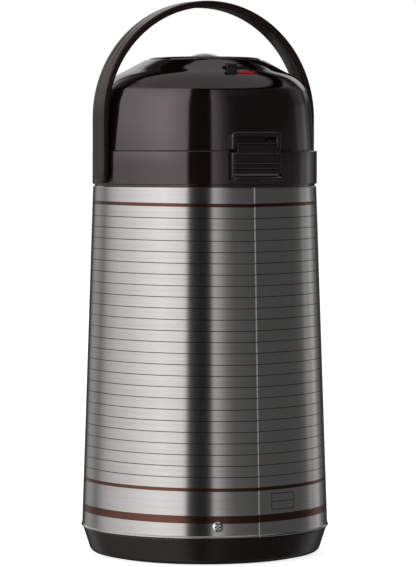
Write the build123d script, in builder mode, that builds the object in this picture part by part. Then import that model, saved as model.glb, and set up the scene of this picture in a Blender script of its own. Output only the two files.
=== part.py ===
"""Thermal coffee airpot: a vacuum jug with a bail handle, a hinged pump lid and a fixed spout.

Millimetres. Origin: centre of the base at the table. +Z up, spout towards -Y, lid latch
towards +Y, handle pivots on the X axis. Vertical outlines are lists of (radius, height).
"""
from math import cos, radians, sin, sqrt

from build123d import *
import os

# ---- overall sizes ----
JACKET_R_LOW = 82.0  # steel jacket, outside radius at its lower edge
JACKET_R_TOP = 74.3  # and at its upper edge
JACKET_Z_LOW = 18.6
JACKET_Z_TOP = 244.5
SHEET = 0.6  # jacket sheet thickness
COLLAR_R = 74.7
COLLAR_Z = 246.0  # underside of the collar's visible band
SPLIT_Z = 267.9  # top of the collar, where the lid closes
LID_R = 72.7  # lid wall at the split
RIM_Z = 327.9  # rim around the pump button
WALL = 2.4  # moulded wall thickness
PAD_R = 11.0  # rubber pad in the middle of the bottom cap

# ---- clearances ----
GAP = 0.3  # between neighbouring pieces
MOVE_GAP = 0.4  # between a moving piece and what it passes
RUN = 0.05  # radial play of a shaft in its hole

# ---- vacuum liner ----
GLASS = 1.8
LINER_R = 66.0  # outer flask
FLASK_R = 60.5  # inner flask, outside
FLASK_Z_LOW = 42.0  # straight part of the inner flask
FLASK_Z_TOP = 206.0
NECK_R = 28.2  # bore of the neck
LINER_LIP_Z = 243.0

# ---- pump ----
BUTTON_R = 37.3
BUTTON_TOP_Z = 329.8
STROKE = 22.0
SKIRT_Z = RIM_Z - STROKE - 0.9  # lower edge of the button, which stays in the well when pressed
WELL_R = BUTTON_R + 0.7
WELL_Z = 297.0  # lower end of the button's guide
PLATE_Z = 270.0  # underside of the lid's base plate
PLATE_T = 2.5
BELLOWS_R = BUTTON_R - 4.8
BELLOWS_FOLDS = 6
SPRING_R = 12.0
SPRING_WIRE = 1.0

# ---- handle ----
HANDLE_R = 77.9  # outside of the arch
HANDLE_T = 4.4
HANDLE_W = 18.0
HANDLE_ARC_Z = 289.4
PIVOT_Z = 255.6
PIN_R = 3.5
PIN_HEAD_R = 5.5
FLAT_X = 73.2  # flats on the collar under the handle legs

# ---- body height ----
DRAWN_TOP = 244.5  # jacket edge that the head and the liner's shoulder are drawn for
LIFT = JACKET_Z_TOP - DRAWN_TOP  # how far a taller jacket raises them

# ---- hinge, spout, latch ----
HINGE_Y = -78.3
HINGE_Z = 268.8
HINGE_PIN_R = 1.5
KNUCKLE_R = 3.2
SPOUT_Z = 259.0
SPOUT_R = 6.0
SPOUT_BORE = 4.6
SPOUT_REACH = 112.0  # mouth of the spout, from the axis
SPOUT_BEND = 14.0
LATCH_Y = 76.4
LATCH_Z = 271.3
LATCH_W = 35.0
LATCH_LEG = 3.3
LATCH_PIN_R = 1.25

# ---- lock slider ----
SLOT_HALF = 12.35  # half the slot's angle, degrees
TAB_ANGLE = 8.3
TAB_AT = 90 - 7.85  # rest position of the tab, degrees from +X
SCREW_Z = 26.1
SCREW_HEAD_R = 3.5


def outline(points):
    """Face of a closed (radius, height) outline in the plane through the axis."""
    return Face(Wire.make_polygon([(r, 0, z) for r, z in points]))


def spun(points, mode=Mode.ADD):
    """Spin an outline a full turn about the vertical axis."""
    revolve(outline(points), axis=Axis.Z, mode=mode)


def arc_spun(points, start, sweep, mode=Mode.ADD):
    """Spin an outline through part of a turn, starting at an angle from +X."""
    revolve(outline(points).rotate(Axis.Z, start), axis=Axis.Z, revolution_arc=sweep, mode=mode)


def profile_x(points, half_width, mode=Mode.ADD):
    """Extrude a closed (y, z) outline to both sides of the X = 0 plane."""
    face = Face(Wire.make_polygon([(0, y, z) for y, z in points]))
    extrude(face, amount=half_width, dir=(1, 0, 0), both=True, mode=mode)


def jacket_r(z):
    """Outside radius of the jacket at a height."""
    share = (z - JACKET_Z_LOW) / (JACKET_Z_TOP - JACKET_Z_LOW)
    return JACKET_R_LOW + (JACKET_R_TOP - JACKET_R_LOW) * share


def around(radius, angle, z):
    """Point at a radius, an angle from +X and a height."""
    return (radius * cos(radians(angle)), radius * sin(radians(angle)), z)


SCREW_ANGLES = [90 - 19.6 + 120 * k for k in range(3)]
POST_ANGLES = [30, 150, 270]
POST_AT = 56.0
PORT_Y = 20.0  # air port between the lid and the stopper

# ---- base ----
with BuildPart() as base_ring:
    lip_r = jacket_r(30) - SHEET - GAP
    spun([
        (44, 3), (60, 3), (60, 0.5), (62, 0.5), (62, 2.6), (68, 2.6), (68, 0.5), (69.5, 0.5),
        (JACKET_R_LOW - 8.5, 0.9), (JACKET_R_LOW - 5.3, 2.7), (JACKET_R_LOW - 0.7, 17.4),
        (JACKET_R_LOW - 1, 18.3), (lip_r, 18.3), (lip_r, 30), (lip_r - WALL, 30),
        (lip_r - WALL, 18), (JACKET_R_LOW - 7.8, 5.5), (47, 5.5), (47, 14), (44, 14),
    ])
    for angle in SCREW_ANGLES:
        with Locations(Plane(around(lip_r - 1, angle, SCREW_Z), z_dir=around(1, angle, 0))):
            Cylinder(1.5, 8, mode=Mode.SUBTRACT)

with BuildPart() as foot_ring:
    spun([(62.1, 0), (67.9, 0), (67.9, 2.6), (62.1, 2.6)])

with BuildPart() as bottom_cap:
    spun([(0, 2), (43.7, 2), (43.7, 12.5), (41.2, 12.5), (41.2, 4.5), (0, 4.5)])
    with Locations((0, 0, 1.5)):
        Box(64, 7, 1.4)
    with Locations((0, 0, 1.3)):
        Cylinder(PAD_R + GAP, 1.4, mode=Mode.SUBTRACT)
    for angle in range(0, 360, 45):
        with Locations(Location(around(42, angle, 12), (0, 0, angle))):
            Box(4, 5, 4, mode=Mode.SUBTRACT)

with BuildPart() as centre_pad:
    spun([(0, 0), (PAD_R, 0), (PAD_R, 2), (0, 2)])

with BuildPart() as liner_cushion:
    spun([(7, 4.6), (40, 4.6), (40, 19.8), (36, 19.2), (24, 17.1), (7, 16.9)])

# ---- liner ----
with BuildPart() as liner_outer:
    spun([
        (0, 8.5), (2, 9.5), (3.5, 17), (24, 17.2), (42, 20.5), (58, 30), (LINER_R, 46),
        (LINER_R, 210 + LIFT), (61, 226 + LIFT), (48, 234.5 + LIFT), (35, 238.5 + LIFT),
        (33.8, 240 + LIFT), (33.8, 241 + LIFT), (32, 241 + LIFT), (32, 237.5 + LIFT),
        (46.8, 233 + LIFT), (59.6, 224.8 + LIFT), (LINER_R - GLASS, 209.5 + LIFT),
        (LINER_R - GLASS, 46.5), (56.6, 31.3), (41.3, 22.2), (24, 19), (0, 18.8),
    ])

# the inner flask is one blown piece; its bottom, wall and shoulder are separate nodes
with BuildPart() as flask_bottom:
    spun([
        (0, 24), (22, 24.6), (42, 28), (56, 34.5), (FLASK_R, FLASK_Z_LOW),
        (FLASK_R - GLASS, FLASK_Z_LOW), (54.7, 35.8), (41.4, 29.8), (22, 26.4), (0, 25.8),
    ])

with BuildPart() as flask_wall:
    spun([
        (FLASK_R, FLASK_Z_LOW), (FLASK_R, FLASK_Z_TOP + LIFT),
        (FLASK_R - GLASS, FLASK_Z_TOP + LIFT), (FLASK_R - GLASS, FLASK_Z_LOW),
    ])

with BuildPart() as flask_shoulder:
    spun([
        (FLASK_R, FLASK_Z_TOP), (56, 220), (44, 229), (31, 234), (30, 236), (30, 241), (33.8, 241),
        (33.8, LINER_LIP_Z), (NECK_R, LINER_LIP_Z), (NECK_R, 234.5), (43.2, 227.4), (54.6, 218.9),
        (FLASK_R - GLASS, FLASK_Z_TOP),
    ])

with BuildPart() as liner_spacer:
    spacer_z = 60.0
    spacer_r = jacket_r(spacer_z + 8) - SHEET - GAP
    spun([
        (LINER_R, spacer_z), (spacer_r, spacer_z), (spacer_r, spacer_z + 8),
        (LINER_R, spacer_z + 8),
    ])
    for angle in range(0, 360, 45):
        with Locations(Location(around(73.5, angle, spacer_z + 4), (0, 0, angle))):
            Box(7, 22, 9, mode=Mode.SUBTRACT)

with BuildPart() as neck_gasket:
    spun([(29.6, LINER_LIP_Z), (36.1, LINER_LIP_Z), (36.1, 247.1), (29.6, 247.1)])

# ---- jacket ----
with BuildPart() as outer_jacket:
    spun([
        (JACKET_R_LOW, JACKET_Z_LOW), (JACKET_R_TOP, JACKET_Z_TOP),
        (JACKET_R_TOP - SHEET, JACKET_Z_TOP), (JACKET_R_LOW - SHEET, JACKET_Z_LOW),
    ])
    for angle in SCREW_ANGLES:
        with Locations(Plane(around(JACKET_R_LOW - 1, angle, SCREW_Z), z_dir=around(1, angle, 0))):
            Cylinder(1.7, 6, mode=Mode.SUBTRACT)

# one pan-head screw, head up, seat at the origin
with BuildPart() as pan_screw:
    spun([(0, -5.2), (1.45, -5.2), (1.45, 0), (SCREW_HEAD_R, 0), (SCREW_HEAD_R, 0.8),
          (3.0, 1.5), (1.9, 1.9), (0, 2.0)])
    with Locations((0, 0, 1.6)):
        Box(1.1, 4.2, 1.4, mode=Mode.SUBTRACT)
        Box(4.2, 1.1, 1.4, mode=Mode.SUBTRACT)

# the head stands off the sloping sheet by as much as its lower rim needs
seat_r = jacket_r(SCREW_Z - SCREW_HEAD_R) + 0.03
jacket_screws = []
for angle in SCREW_ANGLES:
    seat = Plane(around(seat_r, angle, SCREW_Z), z_dir=around(1, angle, 0))
    jacket_screws.append(seat.location * pan_screw.part)

# ---- collar ----
skirt_r = JACKET_R_TOP - SHEET - GAP
COLLAR_IN = 70.6
with BuildPart() as collar:
    spun([
        (skirt_r, 232), (skirt_r, COLLAR_Z), (COLLAR_R, COLLAR_Z), (COLLAR_R, SPLIT_Z - 0.6),
        (COLLAR_R - 0.6, SPLIT_Z), (COLLAR_IN, SPLIT_Z), (COLLAR_IN, 254), (67, 249.5),
        (30, 249.5), (30, 247.1), (36.2, 247.1), (36.2, 241.6), (38.6, 241.6), (38.6, 247.1),
        (68, 247.1), (skirt_r - WALL, 244), (skirt_r - WALL, 232),
    ])
    # hinge ears in front, outside the wall
    for side in (-1, 1):
        with Locations(Location((side * 11.2, HINGE_Y, HINGE_Z), (0, 90, 0))):
            Cylinder(KNUCKLE_R, 5.4)
        with Locations((side * 11.2, (HINGE_Y - 73) / 2, HINGE_Z - 1.85)):
            Box(5.4, -73 - HINGE_Y, 2.7)
    # ledge that the latch hooks under
    with Locations((0, COLLAR_R - 0.6, 264.5)):
        Box(LATCH_W - 13, 1.8, 2.2)
    # flats and pin holes under the handle legs
    for side in (-1, 1):
        with Locations((side * (FLAT_X + 5), 0, 257)):
            Box(10, 60, 24, mode=Mode.SUBTRACT)
        with Locations(Location((side * 72, 0, PIVOT_Z), (0, 90, 0))):
            Cylinder(PIN_R, 12, mode=Mode.SUBTRACT)
        with Locations(Location((side * 66, 0, PIVOT_Z), (0, 90, 0))):
            Cylinder(PIN_HEAD_R, 8.4, mode=Mode.SUBTRACT)
    with Locations(Location((0, -73, SPOUT_Z), (90, 0, 0))):
        Cylinder(SPOUT_R, 12, mode=Mode.SUBTRACT)
    with Locations(Location((0, HINGE_Y, HINGE_Z), (0, 90, 0))):
        Cylinder(HINGE_PIN_R + RUN, 40, mode=Mode.SUBTRACT)

# ---- handle ----
leg_end = PIVOT_Z - HANDLE_W / 2
with BuildPart() as handle:
    with BuildSketch(Plane.XZ):
        with Locations((0, HANDLE_ARC_Z)):
            Circle(HANDLE_R)
        with Locations((0, (HANDLE_ARC_Z + leg_end) / 2)):
            Rectangle(2 * HANDLE_R, HANDLE_ARC_Z - leg_end)
        with Locations((0, HANDLE_ARC_Z)):
            Circle(HANDLE_R - HANDLE_T, mode=Mode.SUBTRACT)
        with Locations((0, (HANDLE_ARC_Z + leg_end) / 2)):
            Rectangle(2 * (HANDLE_R - HANDLE_T), HANDLE_ARC_Z - leg_end, mode=Mode.SUBTRACT)
    extrude(amount=HANDLE_W / 2, both=True)
    long_edges = handle.edges().filter_by(
        lambda e: abs(e.center().Y) > HANDLE_W / 2 - 0.01 and e.center().Z > leg_end + 1)
    fillet(long_edges, 1.3)
    # two shallow grooves along the outer face
    for side in (-1, 1):
        with BuildSketch(Plane.XZ.offset(side * 4 - 0.45)):
            with Locations((0, HANDLE_ARC_Z)):
                Circle(HANDLE_R + 1)
            with Locations((0, HANDLE_ARC_Z - 14)):
                Rectangle(2 * HANDLE_R + 2, 28)
            with Locations((0, HANDLE_ARC_Z)):
                Circle(HANDLE_R - 0.6, mode=Mode.SUBTRACT)
            with Locations((0, HANDLE_ARC_Z - 14)):
                Rectangle(2 * HANDLE_R - 1.2, 28, mode=Mode.SUBTRACT)
        extrude(amount=0.9, mode=Mode.SUBTRACT)
    # rounded leg ends
    with BuildSketch(Plane.YZ):
        with Locations((0, PIVOT_Z)):
            Circle(HANDLE_W / 2)
        with Locations((0, PIVOT_Z + 75)):
            Rectangle(HANDLE_W, 150)
    extrude(amount=HANDLE_R + 5, both=True, mode=Mode.INTERSECT)
    for side in (-1, 1):
        with Locations(Location((side * (HANDLE_R - HANDLE_T), 0, PIVOT_Z), (0, 90, 0))):
            Cylinder(PIN_R + RUN, 6.4, mode=Mode.SUBTRACT)

handle_pins = []
for side in (-1, 1):
    with BuildPart() as pin:
        with Locations(Location((side * 73.2, 0, PIVOT_Z), (0, 90, 0))):
            Cylinder(PIN_R, 6)
        with Locations(Location((side * 69.2, 0, PIVOT_Z), (0, 90, 0))):
            Cylinder(PIN_HEAD_R, 2)
    handle_pins.append(pin)

# ---- stopper, dip tube and spout, which stay on the jug ----
with BuildPart() as stopper_body:
    spun([
        (4.1, 232), (27.2, 232), (27.2, 236), (26, 236), (26, 239.2), (27.2, 239.2),
        (27.2, 249.5), (36, 249.5), (36, 252.4), (25, 252.4), (24.2, 234.4), (6.6, 234.4),
        (6.6, 252.4), (4.1, 252.4),
    ])
    with Locations((0, 15, 233)):
        Cylinder(3, 6, mode=Mode.SUBTRACT)

with BuildPart() as stopper_seal:
    spun([(26, 236), (NECK_R - 0.05, 236), (NECK_R - 0.05, 239.2), (26, 239.2)])

with BuildPart() as stopper_plate:
    spun([(4.1, 252.4), (36, 252.4), (36, 253.6), (35.2, 254.4), (4.1, 254.4)])
    with Locations((0, PORT_Y, 253)):
        Cylinder(4, 6, mode=Mode.SUBTRACT)

with BuildPart() as dip_tube:
    # drawn down to the flask's bottom, wherever the jacket's height puts the head
    tube_z = 33 - LIFT
    spun([(3, tube_z), (4, tube_z), (4, 256.5), (3, 256.5)])
    with Locations((0, 0, tube_z)):
        Box(12, 3, 8, mode=Mode.SUBTRACT)

PIPE_R = 4.4
with BuildPart() as duct_elbow:
    spun([(4, 254.4), (7, 254.4), (7, 265.2), (5.6, 266.2), (0, 266.2), (0, 264), (5, 264),
          (5, 256.5), (4, 256.5)])
    with Locations(Location((0, -38, SPOUT_Z), (90, 0, 0))):
        Cylinder(PIPE_R, 66)
        Cylinder(PIPE_R - 1.2, 66.2, mode=Mode.SUBTRACT)
    with Locations((0, 0, 259.5)):
        Cylinder(5, 9, mode=Mode.SUBTRACT)

with BuildPart() as anti_spill_ball:
    with Locations((0, 0, 258.9)):
        Sphere(3.6)

spout_mouth_z = SPOUT_Z - SPOUT_BEND - 6
with BuildPart() as spout_arm:
    with BuildLine() as spout_path:
        run_out = Line((0, -66, SPOUT_Z), (0, SPOUT_BEND - SPOUT_REACH, SPOUT_Z))
        ThreePointArc(
            run_out @ 1,
            (0, SPOUT_BEND - SPOUT_REACH - SPOUT_BEND * sin(radians(45)),
             SPOUT_Z - SPOUT_BEND + SPOUT_BEND * cos(radians(45))),
            (0, -SPOUT_REACH, SPOUT_Z - SPOUT_BEND))
        Line((0, -SPOUT_REACH, SPOUT_Z - SPOUT_BEND), (0, -SPOUT_REACH, spout_mouth_z))
    with BuildSketch(Plane((0, -66, SPOUT_Z), x_dir=(1, 0, 0), z_dir=(0, -1, 0))):
        Circle(SPOUT_R)
        Circle(SPOUT_BORE, mode=Mode.SUBTRACT)
    sweep()

with BuildPart() as spout_nozzle:
    with Locations((0, -SPOUT_REACH, spout_mouth_z - 0.5)):
        Cylinder(SPOUT_BORE, 9)
        Cylinder(SPOUT_BORE - 1, 9, mode=Mode.SUBTRACT)

# ---- lid ----
lid_out = [
    (LID_R, SPLIT_Z + MOVE_GAP), (71.7, 284.4), (70.2, 299.7), (68.6, 305.7), (67.1, 309.4),
    (63.3, 314), (58.7, 317.6), (51.8, 320.5), (WELL_R + 3.1, 326.6),
    (WELL_R + 1.4, RIM_Z),
]
lid_in = [
    (WELL_R + 2, 323.3), (50.9, 317.4), (57.4, 314.9), (61.4, 311.8), (64.9, 308.1), (66.2, 304.9),
    (67.8, 299.2), (69.3, 284.2), (LID_R - WALL, SPLIT_Z + MOVE_GAP),
]
frame_top = 280.3
with BuildPart() as lid_shell:
    guide = [(WELL_R + 0.5, RIM_Z), (WELL_R, RIM_Z - 0.5), (WELL_R, WELL_Z), (WELL_R + 2, WELL_Z)]
    spun(lid_out + guide + lid_in)
    # shallow tray and slit for the lock slider
    arc_spun([(59.2, 316.0), (51.8, 319.1), (48.8, 320.8), (48.8, 332), (59.2, 332)],
             90 - SLOT_HALF, 2 * SLOT_HALF, mode=Mode.SUBTRACT)
    arc_spun([(53.4, 312), (56.2, 312), (56.2, 322), (53.4, 322)], 90 - 10.9, 21.8,
             mode=Mode.SUBTRACT)
    # posts for the base plate's screws
    for angle in POST_ANGLES:
        with Locations(around(POST_AT, angle, 294.2)):
            Cylinder(3.6, 43.4)
    # frame of the latch
    with BuildSketch(Plane.XY.offset(SPLIT_Z + MOVE_GAP)):
        with Locations((0, 75)):
            Rectangle(LATCH_W, 7.8)
        Circle(71.2, mode=Mode.SUBTRACT)
    extrude(amount=frame_top - SPLIT_Z - MOVE_GAP)
    with Locations((0, 75.6, 271.8)):
        Box(LATCH_W - 2 * LATCH_LEG, 8.8, 9.2, mode=Mode.SUBTRACT)
    # hinge knuckle
    with Locations(Location((0, HINGE_Y, HINGE_Z), (0, 90, 0))):
        Cylinder(KNUCKLE_R, 16.4)
    with Locations((0, (HINGE_Y - 71.4) / 2, HINGE_Z + 2.0)):
        Box(16.4, -71.4 - HINGE_Y, 3.2)
    with Locations(Location((0, HINGE_Y, HINGE_Z), (0, 90, 0))):
        Cylinder(HINGE_PIN_R + RUN, 20, mode=Mode.SUBTRACT)
    for side in (-1, 1):
        with Locations(Location((side * (LATCH_W - LATCH_LEG) / 2, LATCH_Y, LATCH_Z), (0, 90, 0))):
            Cylinder(LATCH_PIN_R, 4, mode=Mode.SUBTRACT)
    for angle in POST_ANGLES:
        with Locations(around(POST_AT, angle, 277)):
            Cylinder(1.4, 12, mode=Mode.SUBTRACT)

plate_top = PLATE_Z + PLATE_T
with BuildPart() as lid_base_plate:
    # its rim hangs down inside the collar and closes the split from within
    spun([(0, PLATE_Z), (68, PLATE_Z), (68, SPLIT_Z - 2.1), (69.6, SPLIT_Z - 2.1),
          (69.6, plate_top + 3), (68, plate_top + 3), (68, plate_top),
          (BELLOWS_R + 2.1, plate_top), (BELLOWS_R + 2.1, plate_top + 2),
          (BELLOWS_R + 0.6, plate_top + 2), (BELLOWS_R + 0.6, plate_top), (0, plate_top)])
    with Locations((0, PORT_Y, (PLATE_Z + 259.5) / 2)):
        Cylinder(6.4, PLATE_Z - 259.5 + 0.4)
    with Locations((0, PORT_Y, 266)):
        Cylinder(3.4, 20, mode=Mode.SUBTRACT)
    for angle in POST_ANGLES:
        with Locations(around(POST_AT, angle, PLATE_Z)):
            Cylinder(1.6, 12, mode=Mode.SUBTRACT)
    # relief for the catch and the latch frame
    with Locations((0, 76, PLATE_Z + 2)):
        Box(LATCH_W - 2 * LATCH_LEG, 14, 9, mode=Mode.SUBTRACT)

with BuildPart() as port_seal:
    with Locations((0, PORT_Y, 257)):
        Cylinder(7.2, 4.6)
        Cylinder(4.2, 4.6, mode=Mode.SUBTRACT)

with BuildPart() as air_flap:
    with Locations((0, PORT_Y, plate_top + 0.5)):
        Cylinder(4.8, 1.0)

plate_screws = []
for angle in POST_ANGLES:
    with BuildPart() as screw:
        with Locations(around(POST_AT, angle, PLATE_Z + 4.5)):
            Cylinder(1.35, 9)
        with Locations(around(POST_AT, angle, PLATE_Z - 0.75)):
            Cylinder(2.8, 1.5)
        with Locations(around(POST_AT, angle, PLATE_Z - 1.5)):
            Box(0.8, 3.4, 1.4, mode=Mode.SUBTRACT)
            Box(3.4, 0.8, 1.4, mode=Mode.SUBTRACT)
    plate_screws.append(screw)

# ---- pump ----
bellows_low = plate_top
bellows_high = 322.6
fold = (bellows_high - bellows_low - 4) / BELLOWS_FOLDS
outer_folds = [(BELLOWS_R, bellows_low), (BELLOWS_R, bellows_low + 2)]
for k in range(BELLOWS_FOLDS):
    outer_folds.append((BELLOWS_R - 5, bellows_low + 2 + fold * (k + 0.5)))
    outer_folds.append((BELLOWS_R, bellows_low + 2 + fold * (k + 1)))
outer_folds.append((BELLOWS_R, bellows_high))
with BuildPart() as bellows:
    inner_folds = [(r - 1.5, z) for r, z in reversed(outer_folds)]
    spun(outer_folds + inner_folds)

with BuildPart() as return_spring:
    coil = Helix(pitch=7.2, height=bellows_high - bellows_low - 2.2, radius=SPRING_R,
                 center=(0, 0, bellows_low + 1.1), mode=Mode.PRIVATE)
    with BuildSketch(Plane(coil @ 0, z_dir=coil % 0)):
        Circle(SPRING_WIRE)
    sweep(path=coil)

with BuildPart() as bellows_cap:
    cap_r = BUTTON_R - 3.9
    spun([(0, bellows_high), (cap_r, bellows_high), (cap_r, 325.4), (9, 325.4), (9, 324.6), (0, 324.6)])

insert_r = 13.6
with BuildPart() as pump_button:
    spun([
        (0, 325.6), (BUTTON_R - 1.9, 325.6), (BUTTON_R - 1.9, SKIRT_Z), (BUTTON_R, SKIRT_Z),
        (BUTTON_R, 327.6), (BUTTON_R - 0.7, 328.7), (BUTTON_R - 2.3, 329.4),
        (BUTTON_R - 6.3, BUTTON_TOP_Z), (insert_r + 0.8, BUTTON_TOP_Z - 0.1),
        (insert_r, BUTTON_TOP_Z - 0.6), (insert_r, BUTTON_TOP_Z - 1.8), (0, BUTTON_TOP_Z - 1.8),
    ])

dome_r = 24.0
dome_low = BUTTON_TOP_Z - 1.8
dome_points = []
for k in range(9):
    r = (insert_r - 0.1) * (1 - k / 8)
    dome_points.append((r, 332.6 - dome_r + sqrt(dome_r**2 - r**2)))
with BuildPart() as button_insert:
    spun([(0, dome_low), (insert_r - 0.1, dome_low)] + dome_points)

# ---- lock ----
with BuildPart() as lock_slider:
    arc_spun([(50.3, 321.2), (58.0, 317.5), (58.0, 324.0), (57.0, 325.2), (51.2, 325.4),
              (50.3, 324.6)], TAB_AT - TAB_ANGLE / 2, TAB_ANGLE)
    arc_spun([(53.8, 313), (55.8, 313), (55.8, 321), (53.8, 321)], TAB_AT - 2, 4)
    arc_spun([(48.6, 316.6), (50.9, 315.1), (57.2, 312.6), (59.4, 311.0), (59.4, 312.9),
              (57.3, 314.4), (50.9, 316.9), (48.6, 318.1)], TAB_AT - 8, 16)

with BuildPart() as lock_marker:
    arc_spun([(51.8, 319.1), (56.9, 316.98), (56.9, 317.38), (51.8, 319.5)],
             90, SLOT_HALF - 0.6)
    arc_spun([(53.4, 312), (56.2, 312), (56.2, 322), (53.4, 322)], 90 - 10.9, 21.8,
             mode=Mode.SUBTRACT)

# ---- latch ----
lever_out = 79.0
lever_in = COLLAR_R + 0.9
with BuildPart() as latch_lever:
    profile_x([
        (lever_in, SPLIT_Z - 1), (lever_in, 251.6), (lever_in + 1.2, 248.6),
        (82.4, 248.6), (82.6, 250.4), (80.2, 251.8), (lever_out + 0.3, 253.5),
        (lever_out, 260), (lever_out, SPLIT_Z - 1),
    ], LATCH_W / 2)
    profile_x([
        (lever_in, SPLIT_Z - 2), (lever_out, SPLIT_Z - 2), (lever_out, 272.2),
        (lever_out - 0.8, 273.6), (lever_in, 273.6),
    ], LATCH_W / 2 - LATCH_LEG - GAP)
    for z in (252.3, 254.3, 256.2, 259.4):
        with Locations((0, lever_out + 0.2, z)):
            Box(LATCH_W - 1.6, 0.9, 0.8)
    with Locations(Location((0, LATCH_Y, LATCH_Z), (0, 90, 0))):
        Cylinder(LATCH_PIN_R + RUN, LATCH_W, mode=Mode.SUBTRACT)

with BuildPart() as latch_pin:
    with Locations(Location((0, LATCH_Y, LATCH_Z), (0, 90, 0))):
        Cylinder(LATCH_PIN_R, LATCH_W - 0.4)

with BuildPart() as hinge_pin:
    with Locations(Location((0, HINGE_Y, HINGE_Z), (0, 90, 0))):
        Cylinder(HINGE_PIN_R, 29)

# ---- export ----
pieces = {
    "base_ring": base_ring, "foot_ring": foot_ring, "bottom_cap": bottom_cap,
    "centre_pad": centre_pad, "liner_cushion": liner_cushion,
    "liner_outer": liner_outer, "flask_bottom": flask_bottom, "flask_wall": flask_wall,
    "flask_shoulder": flask_shoulder,
    "liner_spacer": liner_spacer, "neck_gasket": neck_gasket, "outer_jacket": outer_jacket,
    "collar": collar, "handle": handle, "stopper_body": stopper_body,
    "stopper_seal": stopper_seal, "stopper_plate": stopper_plate, "dip_tube": dip_tube,
    "duct_elbow": duct_elbow, "anti_spill_ball": anti_spill_ball, "spout_arm": spout_arm,
    "spout_nozzle": spout_nozzle, "lid_shell": lid_shell, "lid_base_plate": lid_base_plate,
    "port_seal": port_seal, "air_flap": air_flap, "bellows": bellows,
    "return_spring": return_spring, "bellows_cap": bellows_cap, "pump_button": pump_button,
    "button_insert": button_insert, "lock_slider": lock_slider, "lock_marker": lock_marker,
    "latch_lever": latch_lever, "latch_pin": latch_pin, "hinge_pin": hinge_pin,
}
pieces.update({f"handle_pin_{k + 1}": pin for k, pin in enumerate(handle_pins)})
pieces.update({f"plate_screw_{k + 1}": screw for k, screw in enumerate(plate_screws)})
solids = {name: piece.part for name, piece in pieces.items()}
solids.update({f"jacket_screw_{k + 1}": screw for k, screw in enumerate(jacket_screws)})

body_pieces = ["base_ring", "foot_ring", "bottom_cap", "centre_pad", "liner_cushion", "liner_outer",
               "flask_bottom", "flask_wall", "liner_spacer", "outer_jacket"]
body_pieces += [f"jacket_screw_{k + 1}" for k in range(len(SCREW_ANGLES))]
os.makedirs("parts", exist_ok=True)
for name, solid in solids.items():
    if name not in body_pieces:
        solid = Pos(0, 0, LIFT) * solid
    solid.label = name
    export_step(solid, f"parts/{name}.step")
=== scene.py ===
"""Looks of a thermal airpot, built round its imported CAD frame.

Lengths are in millimetres, except in materials and in what is said to be in metres. The base stands on
Z = 0, the spout points to -Y, and the latch and the jacket's seam are on the +Y side.
"""
import math

import bmesh
import bpy
from mathutils import Matrix, Vector


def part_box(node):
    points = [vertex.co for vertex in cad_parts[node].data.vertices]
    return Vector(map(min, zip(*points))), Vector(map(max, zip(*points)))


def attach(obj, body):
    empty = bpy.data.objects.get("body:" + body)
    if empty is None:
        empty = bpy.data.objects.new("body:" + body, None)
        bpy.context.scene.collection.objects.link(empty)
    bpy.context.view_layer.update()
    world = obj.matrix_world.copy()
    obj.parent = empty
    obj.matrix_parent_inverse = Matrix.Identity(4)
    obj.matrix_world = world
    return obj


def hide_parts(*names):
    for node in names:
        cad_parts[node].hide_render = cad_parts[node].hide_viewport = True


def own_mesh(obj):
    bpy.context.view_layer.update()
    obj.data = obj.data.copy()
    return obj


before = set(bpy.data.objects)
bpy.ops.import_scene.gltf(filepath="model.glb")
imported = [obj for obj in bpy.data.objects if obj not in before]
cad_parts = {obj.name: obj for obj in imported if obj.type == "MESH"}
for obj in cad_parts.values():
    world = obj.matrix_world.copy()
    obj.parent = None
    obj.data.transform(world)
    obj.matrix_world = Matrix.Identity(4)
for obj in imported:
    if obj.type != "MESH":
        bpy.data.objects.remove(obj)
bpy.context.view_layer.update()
MM = 0.001
TAU = 2 * math.pi
X_DIR, Y_DIR, Z_DIR = Vector((1, 0, 0)), Vector((0, 1, 0)), Vector((0, 0, 1))

# ------------------------------------------------------------------ sizes
jacket_lo, jacket_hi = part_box("outer_jacket")
JACKET_Z0, JACKET_Z1 = jacket_lo.z / MM, jacket_hi.z / MM
JACKET_R0, JACKET_R1 = jacket_hi.x / MM, 74.3  # radius at the lower and the upper edge
SHEET = 0.55  # thickness of the jacket
SEAM = 90.0  # turn of the jacket's seam, in degrees from +X
SPLIT = 267.9  # top of the collar, where the lid starts
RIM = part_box("lid_shell")[1].z / MM
FLAT = 73.2  # distance of the collar's flats from the middle
HINGE_Y, HINGE_Z, HINGE_R = -78.3, 268.8, 3.2
SPOUT_Z, SPOUT_R, SPOUT_BORE_R = 259, 6.0, 4.6
LATCH_HALF = 17.5  # half width of the finger latch
LATCH_LEG = 3.3  # width of the latch frame's legs
LATCH_BOW = 0.0012  # how far the latch follows the round wall, per square millimetre of x
REAR = 90  # turn of the middle of the lock, in degrees from +X
LOCK_HALF = 12.35  # half of the turn that the lock's tray takes up
TAB_AT = REAR - 7.85  # turn of the lock's tab at rest


# ------------------------------------------------------------------ mesh helpers
def finish_mesh(name, bm, material, body, replaces, sharp, bevel=0):
    """Turns a bmesh into a shaded piece that rides on a CAD body and replaces the given nodes."""
    bmesh.ops.recalc_face_normals(bm, faces=bm.faces)
    mesh = bpy.data.meshes.new(name)
    bm.to_mesh(mesh)
    bm.free()
    mesh.transform(Matrix.Scale(MM, 4))
    mesh.shade_smooth()
    mesh.set_sharp_from_angle(angle=math.radians(sharp))
    obj = bpy.data.objects.new(name, mesh)
    bpy.context.scene.collection.objects.link(obj)
    obj.data.materials.append(material)
    if bevel:
        mod = obj.modifiers.new("edge", "BEVEL")
        mod.width = bevel * MM
        mod.segments = 3
        mod.limit_method = "ANGLE"
        mod.angle_limit = math.radians(40)
        mod.harden_normals = False
    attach(obj, body)
    for node in replaces:
        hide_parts(node)
    return obj


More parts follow.
